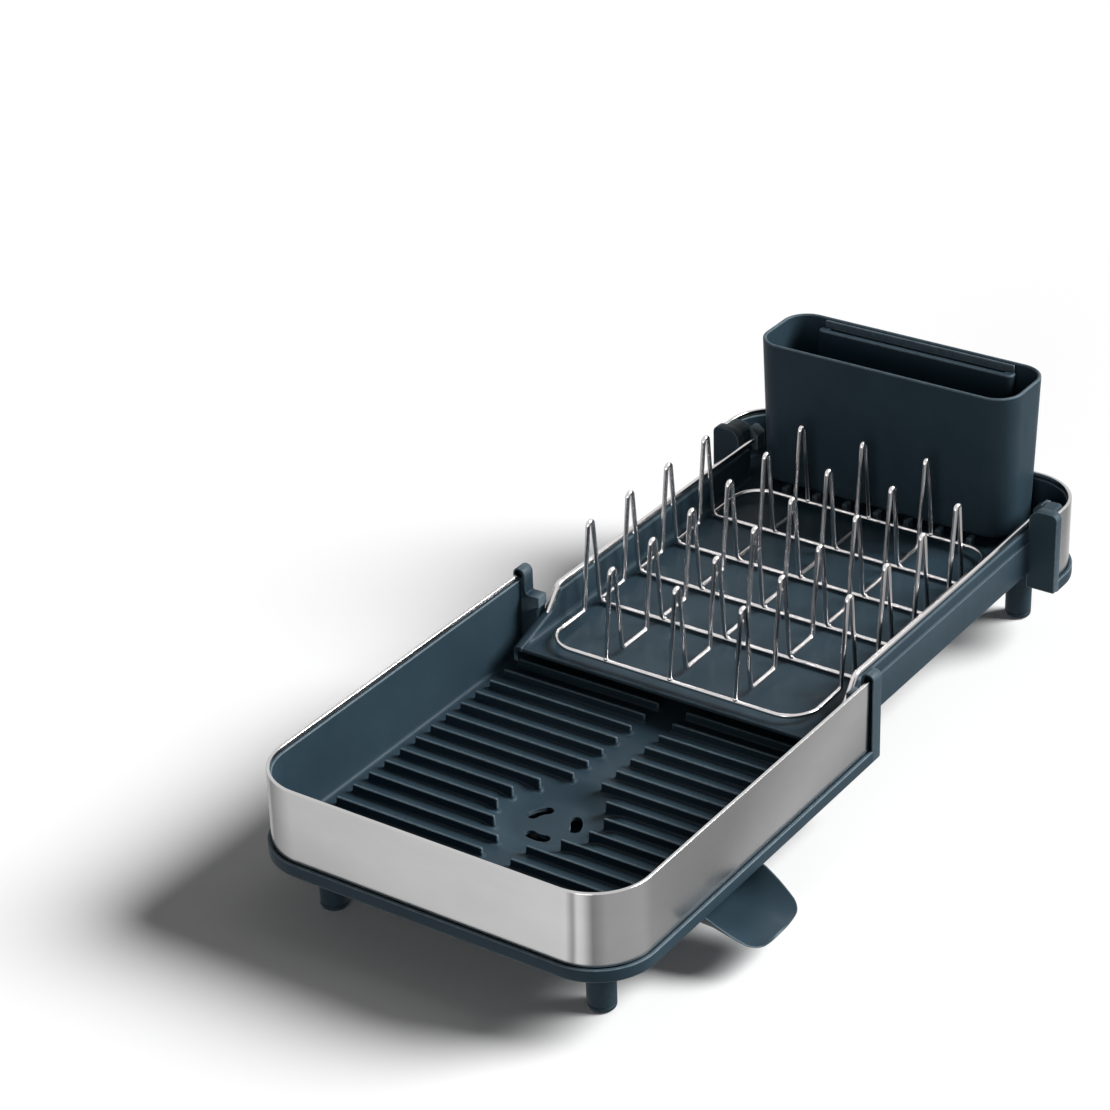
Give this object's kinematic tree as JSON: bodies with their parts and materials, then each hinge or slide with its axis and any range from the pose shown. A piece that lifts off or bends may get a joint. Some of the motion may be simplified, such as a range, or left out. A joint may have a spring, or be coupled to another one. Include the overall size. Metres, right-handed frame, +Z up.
{
  "type": "expandable dish rack",
  "caption": "Expandable dish rack: steel-banded drain tray with swivelling spout, sliding extension, wire plate rack and cutlery holder with knife insert.",
  "frame": {"origin": "centre of the bounding box's bottom face, on the worktop, with the rack fully extended", "axes": "+Z up, +Y from the front module to the sliding extension, +X towards the side that the spout leaves by"},
  "size_m": [0.2798, 0.5646, 0.1707],
  "materials": {
    "moulded_plastic": "dark slate navy, fine satin grain",
    "foot_rubber": "dark slate navy, matte",
    "steel_band": "satin polished sheet with a bright hemmed edge",
    "chromed_wire": "bright chromed steel wire"
  },
  "bodies": {
    "front_module": {"front_tray": "moulded_plastic", "front_band": "steel_band", "front_left_foot": "foot_rubber", "front_right_foot": "foot_rubber", "middle_left_foot": "foot_rubber", "middle_right_foot": "foot_rubber", "spout_pin": "moulded_plastic"},
    "spout": {"drain_spout": "moulded_plastic"},
    "extension": {"rear_tray": "moulded_plastic", "rear_band": "steel_band", "left_rail": "chromed_wire", "right_rail": "chromed_wire", "rear_left_foot": "foot_rubber", "rear_right_foot": "foot_rubber"},
    "plate_rack": {"rack_side_left": "chromed_wire", "rack_side_right": "chromed_wire", "rack_row_left": "chromed_wire", "rack_row_centre": "chromed_wire", "rack_row_right": "chromed_wire", "rack_end_near": "chromed_wire", "rack_end_far": "chromed_wire", "rack_rod_1": "chromed_wire", "rack_rod_2": "chromed_wire", "rack_rod_3": "chromed_wire", "rack_rod_4": "chromed_wire"},
    "cutlery_holder": {"holder_shell": "moulded_plastic"},
    "knife_holder": {"knife_insert": "moulded_plastic"}
  },
  "joints": [
    {"name": "extension_slide", "type": "slide", "parent": "front_module", "child": "extension", "axis": [0, 1, 0], "range_m": [-0.226, 0]},
    {"name": "spout_swivel", "type": "hinge", "parent": "front_module", "child": "spout", "pos_m": [-0.0125, -0.1574, 0.032], "axis": [0, 0, 1], "range_deg": [-24, 40]},
    {"name": "rack_lift", "type": "slide", "parent": "extension", "child": "plate_rack", "axis": [0, 0, 1], "range_m": [0, 0.06]},
    {"name": "holder_lift", "type": "slide", "parent": "extension", "child": "cutlery_holder", "axis": [0, 0, 1], "range_m": [0, 0.06]},
    {"name": "insert_lift", "type": "slide", "parent": "cutlery_holder", "child": "knife_holder", "axis": [0, 0, 1], "range_m": [0, 0.105]}
  ]
}
